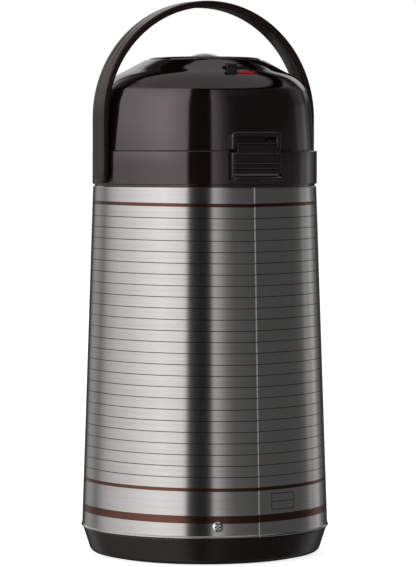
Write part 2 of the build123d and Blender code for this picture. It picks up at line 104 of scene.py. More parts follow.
def rounded(points, radii, steps=5):
    """Closed outline with its corners rounded; radii is one number or one per corner."""
    n = len(points)
    if not hasattr(radii, "__len__"):
        radii = [radii] * n
    out = []
    for i in range(n):
        p = Vector((*points[i], 0))
        a = Vector((*points[i - 1], 0)) - p
        b = Vector((*points[(i + 1) % n], 0)) - p
        r = radii[i]
        la, lb = a.length, b.length
        if r <= 0 or la < 1e-6 or lb < 1e-6:
            out.append((p.x, p.y))
            continue
        a, b = a / la, b / lb
        half = a.angle(b) / 2
        if half > math.radians(88):
            out.append((p.x, p.y))
            continue
        reach = min(r / math.tan(half), la * 0.48, lb * 0.48)
        s, e = p + a * reach, p + b * reach
        for k in range(steps + 1):
            t = k / steps
            q = s * (1 - t) ** 2 + p * 2 * t * (1 - t) + e * t * t
            out.append((q.x, q.y))
    return out


def smooth_line(points, steps):
    """Catmull-Rom curve through open (radius, height) points."""
    pts = [Vector((*p, 0)) for p in points]
    pts = [pts[0] * 2 - pts[1]] + pts + [pts[-1] * 2 - pts[-2]]
    out = []
    for i in range(1, len(pts) - 2):
        p0, p1, p2, p3 = pts[i - 1], pts[i], pts[i + 1], pts[i + 2]
        for k in range(steps):
            t = k / steps
            q = 0.5 * (2 * p1 + (p2 - p0) * t + (2 * p0 - 5 * p1 + 4 * p2 - p3) * t * t
                       + (3 * p1 - p0 - 3 * p2 + p3) * t ** 3)
            out.append((q.x, q.y))
    out.append((pts[-2].x, pts[-2].y))
    return out


def circle(radius, count):
    """Points round a circle."""
    return [(radius * math.cos(TAU * k / count), radius * math.sin(TAU * k / count)) for k in range(count)]


def skin_rings(bm, rings, close_ends=True):
    """Joins each ring of vertices to the next, and closes both ends with a face."""
    n = len(rings[0])
    for a, b in zip(rings, rings[1:]):
        for j in range(n):
            k = (j + 1) % n
            bm.faces.new((a[j], a[k], b[k], b[j]))
    if close_ends:
        bm.faces.new(rings[0])
        bm.faces.new(list(reversed(rings[-1])))


def lathe(bm, profile, segments=192, start=0.0, sweep=360.0, shift=None):
    """Spins a closed (radius, height) outline about Z; shift(r, angle, z) may move a point."""
    full = abs(sweep - 360) < 1e-6
    count = segments if full else segments + 1
    rings = []
    for i in range(count):
        a = math.radians(start + sweep * i / segments)
        ring = []
        for r, z in profile:
            rr, zz = (r, z) if shift is None else shift(r, a, z)
            if r < 1e-6:
                ring.append((0.0, 0.0, zz))
            else:
                ring.append((rr * math.cos(a), rr * math.sin(a), zz))
        rings.append([bm.verts.new(p) for p in ring])
    n = len(profile)
    for i in range(segments):
        a, b = rings[i], rings[(i + 1) % count]
        for j in range(n):
            k = (j + 1) % n
            bm.faces.new((a[j], b[j], b[k], a[k]))
    if not full:
        bm.faces.new(rings[0])
        bm.faces.new(list(reversed(rings[-1])))
    bmesh.ops.remove_doubles(bm, verts=bm.verts, dist=1e-4)
    bmesh.ops.dissolve_degenerate(bm, edges=bm.edges, dist=1e-5)


def sweep_section(bm, frames, section, close_ends=True):
    """Skins a closed section (u, v) along frames of (origin, u axis, v axis, section scale)."""
    rings = []
    for origin, u_dir, v_dir, (su, sv) in frames:
        rings.append([bm.verts.new(origin + u_dir * (u * su) + v_dir * (v * sv)) for u, v in section])
    skin_rings(bm, rings, close_ends)
    return rings


def prism_x(bm, outline, half_width, rows):
    """Closed (y, z) outline extruded to both sides of X = 0."""
    rings = []
    for i in range(rows + 1):
        x = -half_width + 2 * half_width * i / rows
        rings.append([bm.verts.new((x, y, z)) for y, z in outline])
    skin_rings(bm, rings)


def block(bm, lo, hi):
    """Axis-aligned box between two corners."""
    xs, ys, zs = zip(lo, hi)
    verts = [bm.verts.new((x, y, z)) for x in xs for y in ys for z in zs]
    for f in ((0, 1, 3, 2), (4, 6, 7, 5), (0, 4, 5, 1), (2, 3, 7, 6), (0, 2, 6, 4), (1, 5, 7, 3)):
        bm.faces.new([verts[i] for i in f])


def hinge_barrel(bm, x0, x1, chamfer=0.5):
    """Round bar round the hinge's axis, with softened ends."""
    rings = []
    for x, r in ((x0, HINGE_R - chamfer), (x0 + chamfer, HINGE_R),
                 (x1 - chamfer, HINGE_R), (x1, HINGE_R - chamfer)):
        rings.append([bm.verts.new((x, HINGE_Y + dy, HINGE_Z + dz)) for dy, dz in circle(r, 40)])
    skin_rings(bm, rings)


def cut(obj, cutter_bm):
    """Boolean-subtracts a bmesh from a piece and applies it."""
    bmesh.ops.recalc_face_normals(cutter_bm, faces=cutter_bm.faces)
    mesh = bpy.data.meshes.new("cutter")
    cutter_bm.to_mesh(mesh)
    cutter_bm.free()
    mesh.transform(Matrix.Scale(MM, 4))
    tool = bpy.data.objects.new("cutter", mesh)
    bpy.context.scene.collection.objects.link(tool)
    mod = obj.modifiers.new("cut", "BOOLEAN")
    mod.operation = "DIFFERENCE"
    mod.solver = "EXACT"
    mod.object = tool
    bpy.context.view_layer.update()
    deps = bpy.context.evaluated_depsgraph_get()
    result = bpy.data.meshes.new_from_object(obj.evaluated_get(deps))
    obj.modifiers.clear()
    obj.data = result
    obj.data.shade_smooth()
    obj.data.set_sharp_from_angle(angle=math.radians(30))
    bpy.data.objects.remove(tool)


# ------------------------------------------------------------------ materials
class Graph:
    """Short hand for a tree of shader nodes."""

    def __init__(self, tree):
        self.tree = tree

    def new(self, kind, **props):
        node = self.tree.nodes.new(kind)
        for key, value in props.items():
            setattr(node, key, value)
        return node

    def link(self, a, b):
        self.tree.links.new(a, b)

    def put(self, socket, value):
        """Gives a socket a number or a colour, or links another socket to it."""
        if isinstance(value, (int, float)):
            socket.default_value = value
        elif isinstance(value, tuple):
            socket.default_value = (*value, 1.0)
        else:
            self.link(value, socket)

    def math(self, op, *values):
        node = self.new("ShaderNodeMath", operation=op)
        for socket, value in zip(node.inputs, values):
            self.put(socket, value)
        return node.outputs[0]

    def rest_of(self, value):
        """What is left of 1."""
        return self.math("SUBTRACT", 1.0, value)

    def smooth(self, value, low, high):
        """Rises from 0 at low to 1 at high, with soft ends."""
        node = self.new("ShaderNodeMapRange", interpolation_type="SMOOTHSTEP")
        for socket, v in zip(node.inputs, (value, low, high)):
            self.put(socket, v)
        return node.outputs[0]


class Surface(Graph):
    """A new material and its Principled shader."""

    def __init__(self, name):
        self.mat = bpy.data.materials.new(name)
        self.mat.use_nodes = True
        super().__init__(self.mat.node_tree)
        self.bsdf = self.tree.nodes["Principled BSDF"]

    def mix(self, fac, a, b):
        node = self.new("ShaderNodeMix", data_type="RGBA")
        for socket, value in ((node.inputs[0], fac), (node.inputs[6], a), (node.inputs[7], b)):
            self.put(socket, value)
        return node.outputs[2]

    def coords(self):
        return self.new("ShaderNodeTexCoord").outputs["Object"]

    def noise(self, scale, detail=3.0, vector=None, rough=0.5, stretch=None):
        node = self.new("ShaderNodeTexNoise")
        node.inputs["Scale"].default_value = scale
        node.inputs["Detail"].default_value = detail
        node.inputs["Roughness"].default_value = rough
        vector = vector or self.coords()
        if stretch:
            mapping = self.new("ShaderNodeMapping")
            mapping.inputs["Scale"].default_value = stretch
            self.link(vector, mapping.inputs["Vector"])
            vector = mapping.outputs[0]
        self.link(vector, node.inputs["Vector"])
        return node.outputs["Fac"]

    def map_range(self, fac, lo, hi, out_lo, out_hi):
        node = self.new("ShaderNodeMapRange")
        for socket, value in zip(node.inputs, (fac, lo, hi, out_lo, out_hi)):
            self.put(socket, value)
        return node.outputs[0]

    def bump(self, height, strength, distance):
        node = self.new("ShaderNodeBump")
        node.inputs["Strength"].default_value = strength
        node.inputs["Distance"].default_value = distance
        self.link(height, node.inputs["Height"])
        self.link(node.outputs[0], self.bsdf.inputs["Normal"])

    def set(self, **values):
        for key, value in values.items():
            self.put(self.bsdf.inputs[key.replace("_", " ")], value)


def plastic(name, color, rough, spread, grain, bump, tint=0.25, ior=1.5, gloss=(1, 1, 1)):
    """Moulded plastic: faint flow variation, fine surface grain and handling marks."""
    m = Surface(name)
    flow = m.noise(18, 3)
    fine = m.noise(grain, 2)
    scuff = m.noise(260, 4, rough=0.65)
    dark = tuple(c * (1 - tint) for c in color)
    m.set(Base_Color=m.mix(flow, dark, color))
    m.set(Roughness=m.map_range(scuff, 0.3, 0.8, max(0.02, rough - spread), rough + spread))
    m.set(IOR=ior, Specular_Tint=gloss)
    m.bump(fine, bump, 0.0002)
    return m.mat


def metal(name, color, rough, scale=600.0, bump=0.04, recess=0.0):
    """Metal with a fine grain; given a recess, in metres, it paints shade into whatever is sunk about that
    deep.
    """
    m = Surface(name)
    grain = m.noise(scale, 3)
    tone = m.mix(grain, tuple(c * 0.86 for c in color), color)
    if recess:
        # painted shade: ambient occlusion darkens the colour to near black in hollows, such as a screw's
        # cross recess
        shade = m.new("ShaderNodeAmbientOcclusion", samples=8)
        shade.inputs["Distance"].default_value = recess
        open_face = m.map_range(shade.outputs["AO"], 0.45, 0.80, 0.03, 1.0)
        tone = m.mix(open_face, (0.01, 0.01, 0.01), tone)
    m.set(Base_Color=tone, Metallic=1.0)
    m.set(Roughness=m.map_range(grain, 0.25, 0.75, rough * 0.7, rough * 1.3))
    m.bump(grain, bump, 0.0001)
    return m.mat


def rubber(name, color, rough):
    """Dull rubber, a little paler where dust lies on it."""
    m = Surface(name)
    fine = m.noise(900, 4)
    dust = m.noise(60, 3)
    m.set(Base_Color=m.mix(dust, color, tuple(min(1, c * 1.35 + 0.01) for c in color)))
    m.set(Roughness=m.map_range(fine, 0.3, 0.7, rough - 0.08, rough + 0.1))
    m.bump(fine, 0.15, 0.0002)
    return m.mat


# printing on the jacket, in metres and degrees
BROWN_INK = (0.145, 0.066, 0.050)
LINE_INK = (0.060, 0.048, 0.044)
BOX_INK = (0.030, 0.024, 0.022)
BANDS = ((0.2329, 0.00105), (0.0498, 0.00105), (0.0306, 0.0024))  # height and half width
FIRST_RULE, RULE_PITCH = 0.0578, 0.007243
RULED_FROM, RULED_TO = 0.0545, 0.2275
BOX_TURN, BOX_HALF_TURN = 13.4, 6.6
BOX_Z, BOX_HALF_Z = 0.0411, 0.0051
METRES_PER_DEGREE = 0.00142  # along the sheet, at the box's height
GRAIN_R = 0.0785  # radius at which the brushed grain is laid out


def printed_rules(m, height):
    """Thin rules all the way up the middle of the sheet."""
    turn = m.math("DIVIDE", m.math("SUBTRACT", height, FIRST_RULE), RULE_PITCH)
    off = m.math("ABSOLUTE", m.math("SUBTRACT", turn, m.math("ROUND", turn)))
    ruled = m.math("MULTIPLY", m.math("GREATER_THAN", height, RULED_FROM),
                   m.math("LESS_THAN", height, RULED_TO))
    return m.math("MULTIPLY", m.map_range(off, 0.024, 0.042, 1.0, 0.0), ruled)


def printed_bands(m, height):
    """The brown bands: one below the collar, two above the base."""
    bands = 0.0
    for centre, half in BANDS:
        away = m.math("ABSOLUTE", m.math("SUBTRACT", height, centre))
        bands = m.math("MAXIMUM", bands, m.map_range(away, half, half + 0.00015, 1.0, 0.0))
    return bands


def printed_box(m, angle, z):
    """Data box beside the seam: an outline with one divider, left blank."""
    degrees = m.math("MULTIPLY", angle, -180 / math.pi)
    wide = m.math("SUBTRACT", m.math("ABSOLUTE", m.math("SUBTRACT", degrees, BOX_TURN)), BOX_HALF_TURN)
    wide = m.math("MULTIPLY", wide, METRES_PER_DEGREE)
    divider = m.math("ABSOLUTE", m.math("SUBTRACT", z, BOX_Z))
    high = m.math("SUBTRACT", divider, BOX_HALF_Z)
    outline = m.math("ABSOLUTE", m.math("MAXIMUM", wide, high))
    outside = m.rest_of(m.math("LESS_THAN", wide, 0.0))
    nearest = m.math("MINIMUM", outline, m.math("ADD", divider, outside))
    return m.map_range(nearest, 0.00017, 0.00029, 1.0, 0.0)


def steel_jacket():
    """Brushed sheet: grain runs around the body; printed rules, bands and a data box."""
    m = Surface("jacket_brushed_steel")
    split = m.new("ShaderNodeSeparateXYZ")
    m.link(m.coords(), split.inputs[0])
    x, y, z = split.outputs
    angle = m.math("ARCTAN2", x, y)  # radians from the seam towards +X
    # the printing dips a little towards the seam and doesn't quite meet across it
    far = m.math("MINIMUM", m.math("ABSOLUTE", angle), 1.5)
    dip = m.math("MULTIPLY", m.math("SUBTRACT", far, 0.445), 0.0009)
    step = m.math("MULTIPLY", m.math("LESS_THAN", angle, 0.0), 0.0003)
    height = m.math("SUBTRACT", m.math("SUBTRACT", z, dip), step)
    rule, bands, box_line = printed_rules(m, height), printed_bands(m, height), printed_box(m, angle, z)
    # brushed grain, laid out by arc and height
    flat = m.new("ShaderNodeCombineXYZ")
    m.link(m.math("MULTIPLY", angle, GRAIN_R), flat.inputs[0])
    m.link(z, flat.inputs[1])
    grain = m.noise(1.0, 4, vector=flat.outputs[0], rough=0.7, stretch=(28, 5200, 1))
    streak = m.noise(1.0, 3, vector=flat.outputs[0], rough=0.6, stretch=(7, 900, 1))
    cloud = m.noise(9, 3)
    steel = m.mix(grain, (0.50, 0.485, 0.475), (0.74, 0.725, 0.71))
    steel = m.mix(m.map_range(streak, 0.3, 0.7, 0.0, 0.28), steel, (0.40, 0.385, 0.375))
    for ink_mask, ink in ((rule, LINE_INK), (box_line, BOX_INK), (bands, BROWN_INK)):
        steel = m.mix(ink_mask, steel, ink)
    thin_print = m.math("MAXIMUM", m.math("MULTIPLY", rule, 0.9), m.math("MULTIPLY", box_line, 0.7))
    printed = m.math("MAXIMUM", bands, thin_print)
    rough = m.map_range(grain, 0.2, 0.8, 0.16, 0.25)
    rough = m.math("ADD", rough, m.math("MULTIPLY", m.math("SUBTRACT", cloud, 0.5), 0.05))
    rough = m.math("ADD", rough, m.math("MULTIPLY", printed, 0.1))
    tangent = m.new("ShaderNodeTangent", direction_type="RADIAL", axis="Z")
    m.set(Base_Color=steel, Metallic=1.0, Roughness=rough, Tangent=tangent.outputs[0])
    m.set(Anisotropic=0.85, Anisotropic_Rotation=0.25)
    m.bump(grain, 0.10, 0.00005)
    return m.mat


WARM = (1.0, 0.86, 0.90)
M_JACKET = steel_jacket()
M_HEAD = plastic("head_gloss_plastic", (0.0050, 0.0026, 0.0024), rough=0.05, spread=0.02, grain=900,
                 bump=0.010, ior=1.9, gloss=WARM)
M_LATCH = plastic("latch_gloss_plastic", (0.0020, 0.0012, 0.0012), rough=0.06, spread=0.03, grain=900,
                  bump=0.02, ior=1.8, gloss=WARM)
M_HANDLE = plastic("handle_satin_plastic", (0.012, 0.006, 0.005), rough=0.20, spread=0.05, grain=900,
                   bump=0.02, ior=1.6, gloss=(1.0, 0.80, 0.82))
M_BASE = plastic("base_satin_plastic", (0.006, 0.004, 0.004), rough=0.26, spread=0.06, grain=900,
                 bump=0.05, gloss=(1.0, 0.88, 0.88))
M_CAP = plastic("cap_matte_plastic", (0.022, 0.019, 0.019), rough=0.5, spread=0.08, grain=1500, bump=0.12)
M_PALE = plastic("inner_pale_plastic", (0.62, 0.61, 0.57), rough=0.38, spread=0.07, grain=1200,
                 bump=0.05, tint=0.06)
M_TUBE = plastic("dip_tube_plastic", (0.70, 0.69, 0.65), rough=0.32, spread=0.06, grain=1200,
                 bump=0.04, tint=0.05)
M_DARK = plastic("nozzle_plastic", (0.02, 0.018, 0.018), rough=0.35, spread=0.06, grain=1200, bump=0.06)
M_MARK = plastic("lock_marker_red", (0.92, 0.012, 0.030), rough=0.35, spread=0.05, grain=1200,
                 bump=0.03, tint=0.12)
M_SEAL = rubber("seal_silicone", (0.62, 0.60, 0.55), 0.5)
M_BELLOWS = rubber("bellows_rubber", (0.03, 0.03, 0.03), 0.55)
M_FOOT = rubber("foot_rubber", (0.02, 0.02, 0.02), 0.7)
M_FOAM = rubber("spacer_foam", (0.12, 0.12, 0.12), 0.85)
M_CHROME = metal("polished_steel", (0.70, 0.69, 0.68), 0.12)
# painted shade darkens the screws' cross recesses
M_SCREW = metal("screw_steel", (0.95, 0.94, 0.92), 0.16, recess=0.0022)
M_INSERT = metal("button_insert_satin", (0.86, 0.86, 0.87), 0.34, scale=500)
M_GLASS = metal("silvered_glass", (0.80, 0.82, 0.84), 0.06, scale=30, bump=0.02)

NODES_BY_FINISH = (
    (M_JACKET, "outer_jacket"),
    (M_HEAD, "collar lid_shell pump_button spout_arm"),
    (M_LATCH, "lock_slider latch_lever"),
    (M_HANDLE, "handle"),
    (M_BASE, "base_ring"),
    (M_CAP, "bottom_cap"),
    (M_PALE, "stopper_body stopper_plate duct_elbow lid_base_plate bellows_cap"),
    (M_TUBE, "dip_tube"),
    (M_DARK, "spout_nozzle"),
    (M_MARK, "lock_marker"),
    (M_SEAL, "liner_cushion neck_gasket stopper_seal port_seal air_flap"),
    (M_BELLOWS, "bellows"),
    (M_FOOT, "foot_ring centre_pad"),
    (M_FOAM, "liner_spacer"),
    (M_CHROME, "anti_spill_ball return_spring latch_pin hinge_pin handle_pin_1 handle_pin_2"),
    (M_SCREW, "jacket_screw_1 jacket_screw_2 jacket_screw_3 plate_screw_1 plate_screw_2 plate_screw_3"),
    (M_INSERT, "button_insert"),
    (M_GLASS, "liner_outer flask_bottom flask_wall flask_shoulder"),
)
finish_of = {name: material for material, names in NODES_BY_FINISH for name in names.split()}
for name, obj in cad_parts.items():
    obj.data.materials.clear()
    obj.data.materials.append(finish_of[name])


# ------------------------------------------------------------------ jacket
def jacket_radius(z):
    return JACKET_R0 + (JACKET_R1 - JACKET_R0) * (z - JACKET_Z0) / (JACKET_Z1 - JACKET_Z0)


def seam_rise(p):
    """How far the sheet stands out, p degrees after the seam: it starts with a rolled edge that lies
    over its own end, and ends tucked under it."""
    if p < 20:
        edge = math.sqrt(max(0.0, 1 - (1 - min(p / 0.55, 1)) ** 2))
        return 0.50 * edge * math.exp(-p / 3.2) + 0.02
    if p > 358:
        return -0.30 * ((p - 358) / 2.0) ** 3
    return 0.0


def build_jacket():
    """Rolled sheet with its overlap at the rear, a hem below and a turned-in edge above."""
    hem = [(JACKET_Z0, 0.35), (JACKET_Z0 + 0.3, 0.62), (JACKET_Z0 + 0.8, 0.45), (JACKET_Z0 + 1.4, 0.0)]
    wall = [(JACKET_Z0 + 1.5 + (JACKET_Z1 - JACKET_Z0 - 3.0) * i / 24, 0.0) for i in range(25)]
    top = [(JACKET_Z1 - 0.7, 0.0), (JACKET_Z1 - 0.25, -0.06), (JACKET_Z1, -0.30)]
    rows = hem + wall + top  # height, and how far the outer face stands out there
    past = [0.0, 0.06, 0.14, 0.24, 0.36, 0.5, 0.66, 0.85, 1.1, 1.5, 2.0, 2.8, 4.0, 5.5, 7.5]
    past += [7.5 + (352.0 - 7.5) * i / 240 for i in range(1, 241)]
    past += [354.0, 356.0, 357.5, 358.4, 359.0, 359.35, 359.6, 359.8, 360.0]
    bm = bmesh.new()
    outer, inner = [], []
    for p in past:
        rad = math.radians(SEAM + p)
        lift = seam_rise(p)
        tuck = lift - 0.05 if p > 358 else 0.0
        ring_o, ring_i = [], []
        for z, out in rows:
            r = jacket_radius(z) + out + lift
            ring_o.append(bm.verts.new((r * math.cos(rad), r * math.sin(rad), z)))
            r = jacket_radius(z) - SHEET + tuck
            ring_i.append(bm.verts.new((r * math.cos(rad), r * math.sin(rad), z)))
        outer.append(ring_o)
        inner.append(ring_i)
    last = len(rows) - 1
    for i in range(len(past) - 1):
        for j in range(last):
            bm.faces.new((outer[i][j], outer[i + 1][j], outer[i + 1][j + 1], outer[i][j + 1]))
            bm.faces.new((inner[i][j], inner[i][j + 1], inner[i + 1][j + 1], inner[i + 1][j]))
        for j in (0, last):
            bm.faces.new((outer[i][j], outer[i + 1][j], inner[i + 1][j], inner[i][j]))
    for ring_o, ring_i in ((outer[0], inner[0]), (outer[-1], inner[-1])):
        for j in range(last):
            bm.faces.new((ring_o[j], ring_o[j + 1], ring_i[j + 1], ring_i[j]))
    finish_mesh("jacket_sheet", bm, M_JACKET, "jug", ["outer_jacket"], 28)


# ------------------------------------------------------------------ collar, hinge and base
def flatten(r, a, z):
    """Moves the outer face of the collar's band onto the flats under the handle legs."""
    x = abs(r * math.cos(a))
    if r > 72.9 and z > 245.4 and x > FLAT:
        return FLAT / max(abs(math.cos(a)), 1e-6), z
    return r, z


def build_collar():
    """Band between jacket and lid, with its shelf, its neck ring and a bore for the spout."""
    outline = [(73.3, 232), (73.3, 246), (74.7, 246), (74.7, SPLIT), (70.6, SPLIT), (70.6, 254),
               (67, 249.5), (30, 249.5), (30, 247.1), (36.2, 247.1), (36.2, 241.6), (38.6, 241.6),
               (38.6, 247.1), (68, 247.1), (70.9, 244), (70.9, 232)]
    corners = [0.3, 0.2, 0.7, 0.9, 0.5, 1.5, 1.5, 0.4, 0.2, 0.2, 0.2, 0.2, 0.5, 1, 1, 0.3]
    bm = bmesh.new()
    lathe(bm, rounded(outline, corners, 4), 240, shift=flatten)
    collar = finish_mesh("collar_band", bm, M_HEAD, "jug", ["collar"], 40)
    bm = bmesh.new()
    through = [(Vector((0, y, SPOUT_Z)), X_DIR, Z_DIR, (1, 1)) for y in (-60, -82)]
    sweep_section(bm, through, circle(SPOUT_R, 40))
    cut(collar, bm)


def build_hinge_ears():
    """Two ears on the collar that the hinge pin runs through, each on a short web."""
    for side, tag in ((-1, "l"), (1, "r")):
        x0, x1 = sorted((side * 8.5, side * 13.9))
        bm = bmesh.new()
        hinge_barrel(bm, x0, x1)
        finish_mesh(f"hinge_ear_{tag}", bm, M_HEAD, "jug", [], 40)
        bm = bmesh.new()
        block(bm, (x0 + 0.1, HINGE_Y - 1.6, 265.7), (x1 - 0.1, -73.4, 268.1))
        finish_mesh(f"hinge_web_{tag}", bm, M_HEAD, "jug", [], 40, bevel=0.6)


def build_latch_ledge():
    """Small ledge on the collar that the latch hooks under."""
    bm = bmesh.new()
    prism_x(bm, rounded([(73.4, 263.2), (74.9, 263.6), (74.9, 265.0), (73.4, 265.6)], 0.3, 3), 11, 6)
    finish_mesh("latch_ledge", bm, M_HEAD, "jug", [], 40)


def build_base():
    """Base shell: tapered foot, two rings under it and a wall that stands inside the jacket."""
    outline = [(44, 3), (60, 3), (60, 0.5), (62, 0.5), (62, 2.6), (68, 2.6), (68, 0.5), (70.0, 0.5),
               (76.2, 1.8), (81.3, 17.4), (81.0, 18.3), (80.7, 18.3), (80.7, 30), (78.3, 30), (78.3, 18),
               (74.2, 5.5), (47, 5.5), (47, 14), (44, 14)]
    corners = [0.4, 0.4, 0.4, 0.3, 0.2, 0.2, 0.3, 1.5, 4.5, 0.9, 0.2, 0.1, 0.4, 0.4, 1, 2, 1, 0.4, 0.4]
    bm = bmesh.new()
    lathe(bm, rounded(outline, corners, 5), 240)
    finish_mesh("base_shell", bm, M_BASE, "jug", ["base_ring"], 35)


# ------------------------------------------------------------------ lid
def build_lid():
    """Dome with the button's well, and the tray and slit of the lock slider cut into it."""
    wall = [(72.7, 268.3), (72.25, 276.4), (71.7, 284.4), (71.0, 292.3), (70.2, 299.7), (68.6, 305.7),
            (67.1, 309.4), (63.3, 314.0), (58.7, 317.6), (51.8, 321.2), (46.2, 324.3), (41.4, 326.9)]
    well = rounded([(41.4, 326.9), (39.4, RIM), (38.0, RIM - 0.1), (38.0, 297), (40, 297), (40, 323.3)],
                   [0, 0.7, 0.6, 0.3, 0.3, 0], 4)
    underside = [(40, 323.3), (50.9, 317.9), (57.4, 315.0), (61.4, 311.8), (64.9, 308.1), (66.2, 304.9),
                 (67.8, 299.2), (69.3, 284.2), (70.3, 268.3)]
    bm = bmesh.new()
    lathe(bm, smooth_line(wall, 6)[:-1] + well[:-1] + underside, 256)
    lid = finish_mesh("lid_dome", bm, M_HEAD, "lid", ["lid_shell"], 38)
    bm = bmesh.new()
    tray = rounded([(59.2, 316.0), (59.2, 332), (48.8, 332), (48.8, 321.2), (51.8, 319.4)],
                   [0.5, 0, 0, 0.5, 0.2], 3)
    lathe(bm, tray, 24, REAR - LOCK_HALF, 2 * LOCK_HALF)
    cut(lid, bm)
    bm = bmesh.new()
    lathe(bm, [(53.4, 308), (56.2, 308), (56.2, 323), (53.4, 323)], 24, REAR - 10.9, 21.8)
    cut(lid, bm)


def build_lid_posts():
    """Three posts inside the dome that take the base plate's screws."""
    outline = rounded([(1.4, 272.6), (3.6, 272.6), (3.6, 315.4), (0, 315.4), (0, 284), (1.4, 284)],
                      [0.2, 0.3, 0, 0, 0, 0], 3)
    for k, turn in enumerate((30, 150, 270)):
        a = math.radians(turn)
        bm = bmesh.new()
        lathe(bm, outline, 40)
        bmesh.ops.translate(bm, verts=bm.verts, vec=(56 * math.cos(a), 56 * math.sin(a), 0))
        finish_mesh(f"lid_post_{k + 1}", bm, M_HEAD, "lid", [], 40)


def build_lid_knuckle():
    """The lid's half of the hinge, between the collar's ears."""
    bm = bmesh.new()
    hinge_barrel(bm, -8.2, 8.2)
    finish_mesh("lid_knuckle", bm, M_HEAD, "lid", [], 40)
    bm = bmesh.new()
    block(bm, (-8.1, HINGE_Y - 0.6, 269.2), (8.1, -71.6, 272.0))
    finish_mesh("lid_knuckle_web", bm, M_HEAD, "lid", [], 40, bevel=0.6)


# ------------------------------------------------------------------ latch
def build_latch_frame():
    """Hoop on the lid's rear wall: two legs and a top bar with rounded outer corners."""
    foot, bar, top = 268.4, 276.2, 280.3
    front, wall_r = 78.8, 71.6
    half, gap = LATCH_HALF, LATCH_HALF - LATCH_LEG
    bm = bmesh.new()

    def edge(points, corner):
        """Front and back vertices along one edge of the hoop."""
        path = rounded(points, [0, corner, corner, 0], 8)
        near = [bm.verts.new((x, front - LATCH_BOW * x * x, z)) for x, z in path]
        far = [bm.verts.new((x, math.sqrt(wall_r * wall_r - x * x), z)) for x, z in path]
        return near, far

    near_o, far_o = edge([(-half, foot), (-half, top), (half, top), (half, foot)], 3.4)
    near_i, far_i = edge([(-gap, foot), (-gap, bar), (gap, bar), (gap, foot)], 1.2)
    last = len(near_o) - 1
    for k in range(last):
        bm.faces.new((near_o[k], near_o[k + 1], far_o[k + 1], far_o[k]))
        bm.faces.new((near_i[k], far_i[k], far_i[k + 1], near_i[k + 1]))
        bm.faces.new((near_o[k], near_i[k], near_i[k + 1], near_o[k + 1]))
        bm.faces.new((far_o[k], far_o[k + 1], far_i[k + 1], far_i[k]))
    for k in (0, last):
        bm.faces.new((near_o[k], far_o[k], far_i[k], near_i[k]))
    finish_mesh("latch_frame", bm, M_LATCH, "lid", [], 35, bevel=1.1)


def build_latch_lever():
    """Ribbed finger plate with a curled lip, and the barrel that its pin runs through."""
    front, back = 79.0, 75.6
    outline = [(back, 266.9), (back, 251.8), (back + 0.5, 249.6), (back + 1.6, 248.6), (81.9, 248.6),
               (82.5, 249.1), (82.6, 250.3), (81.6, 251.2), (80.2, 251.8), (79.5, 253.0)]
    for z in (254.3, 256.2, 259.4):  # ribs
        outline += [(front + 0.05, z - 0.65), (front + 0.55, z - 0.25),
                    (front + 0.55, z + 0.25), (front + 0.05, z + 0.65)]
    outline += [(front, 261.0), (front, 266.2), (front - 0.5, 266.9)]
    rows, soft = 20, 1.2  # the front draws back over the last bit of each side
    bm = bmesh.new()
    rings = []
    for i in range(rows + 1):
        x = -LATCH_HALF + 2 * LATCH_HALF * i / rows
        side = max(0.0, (abs(x) - (LATCH_HALF - soft)) / soft)
        bow = -LATCH_BOW * x * x
        rings.append([bm.verts.new((x, y + bow - (0.55 * side if y > 77 else 0.0), z)) for y, z in outline])
    skin_rings(bm, rings)
    finish_mesh("latch_lever_plate", bm, M_LATCH, "latch", ["latch_lever"], 30, bevel=0.25)
    barrel = rounded([(back, 266.0), (front - 0.2, 266.0), (front - 0.2, 273.4), (back, 273.6)],
                     [0, 0, 1.7, 0.8], 6)
    bm = bmesh.new()
    prism_x(bm, barrel, LATCH_HALF - LATCH_LEG - 0.3, 8)
    finish_mesh("latch_lever_barrel", bm, M_LATCH, "latch", [], 35, bevel=0.3)


# ------------------------------------------------------------------ handle
ARC_Z, ARC_R = 289.4, 75.7  # centre and middle radius of the arch
STRAP, STRAP_W = 4.4, 18.0
PIVOT_Z = 255.6
END_R = STRAP_W / 2  # the legs end round, about the pivot


def handle_section():
    """Strap outline: soft edges, two shallow grooves between three ribs on the outer face."""
    half, t, steps = STRAP_W / 2, STRAP / 2, 6
    soft = rounded([(-half, -t), (half, -t), (half, t), (-half, t)], [1.2, 1.2, 1.7, 1.7], steps)
    face = []
    for quarter in range(26, -27, -1):
        u = quarter / 4
        groove = min(abs(u - 3.4), abs(u + 3.4)) / 0.9
        face.append((u, t - 0.5 * max(0.0, 1 - groove ** 2)))
    before = 3 * (steps + 1)  # points up to the outer face, which comes after three corners
    return soft[:before] + face + soft[before:]


def handle_leg(z, side):
    """One station of a straight leg; below the pivot it gets narrower and thinner."""
    below = PIVOT_Z - z
    wide = thin = 1.0
    if below > 0:
        wide = math.sqrt(max(END_R ** 2 - min(below, 8.97) ** 2, 0.3)) / END_R
        thin = 1.0 - 0.42 * (below / END_R) ** 2
    x = side * (ARC_R - STRAP / 2 + STRAP / 2 * thin)
    return Vector((x, 0, z)), Y_DIR, X_DIR * side, (wide, thin)


def build_handle():
    """Flat strap: up one leg, over the arch and down the other leg."""
    heights = []
    z = PIVOT_Z - END_R
    while z < ARC_Z - 0.1:
        heights.append(z)
        z += 0.6 if z < PIVOT_Z + 2 else 3.0
    frames = [handle_leg(z, 1) for z in heights]
    steps = 96
    for i in range(steps + 1):
        a = math.pi * i / steps
        outward = Vector((math.cos(a), 0, math.sin(a)))
        frames.append((Vector((0, 0, ARC_Z)) + outward * ARC_R, Y_DIR, outward, (1, 1)))
    frames += [handle_leg(z, -1) for z in reversed(heights)]
    bm = bmesh.new()
    sweep_section(bm, frames, handle_section())
    finish_mesh("handle_strap", bm, M_HANDLE, "handle", ["handle"], 42)


